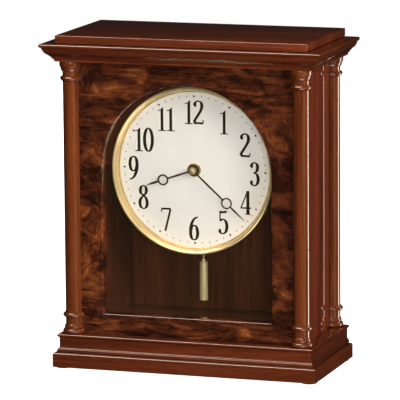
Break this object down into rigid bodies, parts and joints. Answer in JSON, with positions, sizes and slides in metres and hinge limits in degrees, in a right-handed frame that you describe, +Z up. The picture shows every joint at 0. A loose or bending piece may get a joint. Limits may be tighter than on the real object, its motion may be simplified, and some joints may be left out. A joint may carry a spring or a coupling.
{
  "type": "mantel clock",
  "caption": "Wooden mantel clock: stepped cornice and plinth, turned corner columns, arched glazed front, brass bezel dial, short pendulum, hinged back door.",
  "frame": {"origin": "middle of the footprint's box, on the surface the clock stands on", "axes": "+X to the right as seen from the front, -Y towards the viewer, +Z up"},
  "size_m": [0.2576, 0.1226, 0.298],
  "materials": {
    "cherry": "dark reddish cherry, gloss lacquer",
    "burl": "book-figured burl veneer, gloss lacquer",
    "lining": "dark stained board, satin",
    "brass": "polished and lacquered",
    "steel": "bright zinc",
    "plastic": "moulded black, fine texture",
    "glass": "clear polished",
    "dial": "cream enamel with printed dark numerals and minute dots",
    "hands": "dark bronze satin",
    "circuit": "green solder mask",
    "copper": "enamelled copper winding",
    "battery": "printed jacket, no lettering",
    "felt": "pressed felt"
  },
  "bodies": {
    "case": {"base_board": "lining", "base_moulding_front": "cherry", "base_moulding_left": "cherry", "base_moulding_right": "cherry", "battery": "battery", "bezel": "brass", "case_top": "lining", "circuit_board": "circuit", "coil": "copper", "column_front_left": "cherry", "column_front_right": "cherry", "column_rear_left": "cherry", "column_rear_right": "cherry", "cornice_front": "cherry", "cornice_left": "cherry", "cornice_right": "cherry", "crystal": "glass", "dial_board": "lining", "dial_plate": "dial", "fixing_nut": "brass", "foot_pad_front_left": "felt", "foot_pad_front_right": "felt", "foot_pad_rear_left": "felt", "foot_pad_rear_right": "felt", "front_panel": "burl", "glass_bead": "lining", "glass_pane": "glass", "hinge_lower_case_leaf": "brass", "hinge_lower_pin": "steel", "hinge_upper_case_leaf": "brass", "hinge_upper_pin": "steel", "lining_left": "lining", "lining_right": "lining", "magnet_catch": "plastic", "movement_back_cover": "plastic", "movement_front_cover": "plastic", "plinth_front": "cherry", "plinth_left": "cherry", "plinth_right": "cherry", "rear_rail": "cherry", "side_panel_left": "cherry", "side_panel_right": "cherry", "speaker": "steel", "top_board": "cherry"},
    "door": {"back_door": "lining", "door_knob": "brass", "hinge_lower_door_leaf": "brass", "hinge_upper_door_leaf": "brass", "strike_plate": "steel"},
    "minute_group": {"minute_arbor": "steel", "minute_hand": "hands", "cap_nut": "brass"},
    "hour_group": {"hour_wheel": "brass", "hour_hand": "hands"},
    "motion_group": {"motion_wheel": "brass"},
    "setting_group": {"time_set_knob": "plastic"},
    "pendulum": {"pendulum_hanger": "plastic", "pendulum_rod": "brass", "pendulum_bob": "brass"},
    "switch": {"chime_switch": "plastic"}
  },
  "joints": [
    {"name": "door_swing", "type": "hinge", "parent": "case", "child": "door", "pos_m": [-0.0953, 0.059, 0.1615], "axis": [0, 0, 1], "range_deg": [0, 115]},
    {"name": "minute_turn", "type": "hinge", "parent": "case", "child": "minute_group", "pos_m": [0, -0.0167, 0.178], "axis": [0, 1, 0], "continuous": true},
    {"name": "hour_turn", "type": "hinge", "parent": "case", "child": "hour_group", "pos_m": [0, -0.0167, 0.178], "axis": [0, 1, 0], "continuous": true},
    {"name": "motion_turn", "type": "hinge", "parent": "case", "child": "motion_group", "pos_m": [0.01, -0.011, 0.178], "axis": [0, 1, 0], "continuous": true},
    {"name": "setting_turn", "type": "hinge", "parent": "case", "child": "setting_group", "pos_m": [0.02, 0.0146, 0.178], "axis": [0, 1, 0], "continuous": true},
    {"name": "pendulum_swing", "type": "hinge", "parent": "case", "child": "pendulum", "pos_m": [0, 0.0083, 0.148], "axis": [0, 1, 0], "range_deg": [-5, 5]},
    {"name": "chime_switch_slide", "type": "slide", "parent": "case", "child": "switch", "axis": [0, 0, 1], "range_m": [0, 0.008]}
  ],
  "couplings": [
    {"joint": "hour_turn", "follows": "minute_turn", "ratio": 0.083333},
    {"joint": "motion_turn", "follows": "minute_turn", "ratio": -0.33333},
    {"joint": "setting_turn", "follows": "minute_turn", "ratio": 1}
  ]
}
